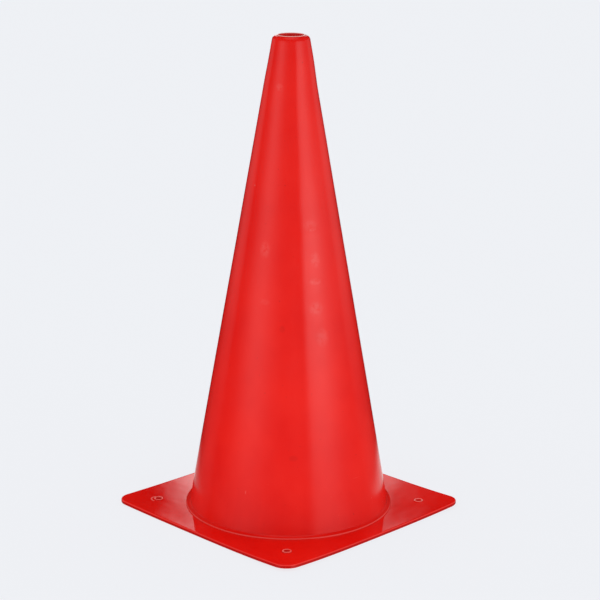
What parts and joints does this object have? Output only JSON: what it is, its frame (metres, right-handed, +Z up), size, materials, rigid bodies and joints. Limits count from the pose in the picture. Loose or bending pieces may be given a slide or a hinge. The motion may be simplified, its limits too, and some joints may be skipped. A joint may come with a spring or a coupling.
{
  "type": "traffic cone",
  "caption": "Light hollow plastic marker cone with a round top opening, fixed in a square base plate with corner holes.",
  "frame": {"origin": "centre of the base plate's underside, on the ground", "axes": "+Z up along the cone's axis; the sides of the square base lie along X and Y"},
  "size_m": [0.24, 0.24, 0.46],
  "materials": {
    "body_plastic": "semi-gloss moulded red polyethylene",
    "base_plastic": "glossy moulded red polyethylene"
  },
  "bodies": {
    "root": {"cone_body": "body_plastic", "base_plate": "base_plastic"}
  },
  "joints": []
}
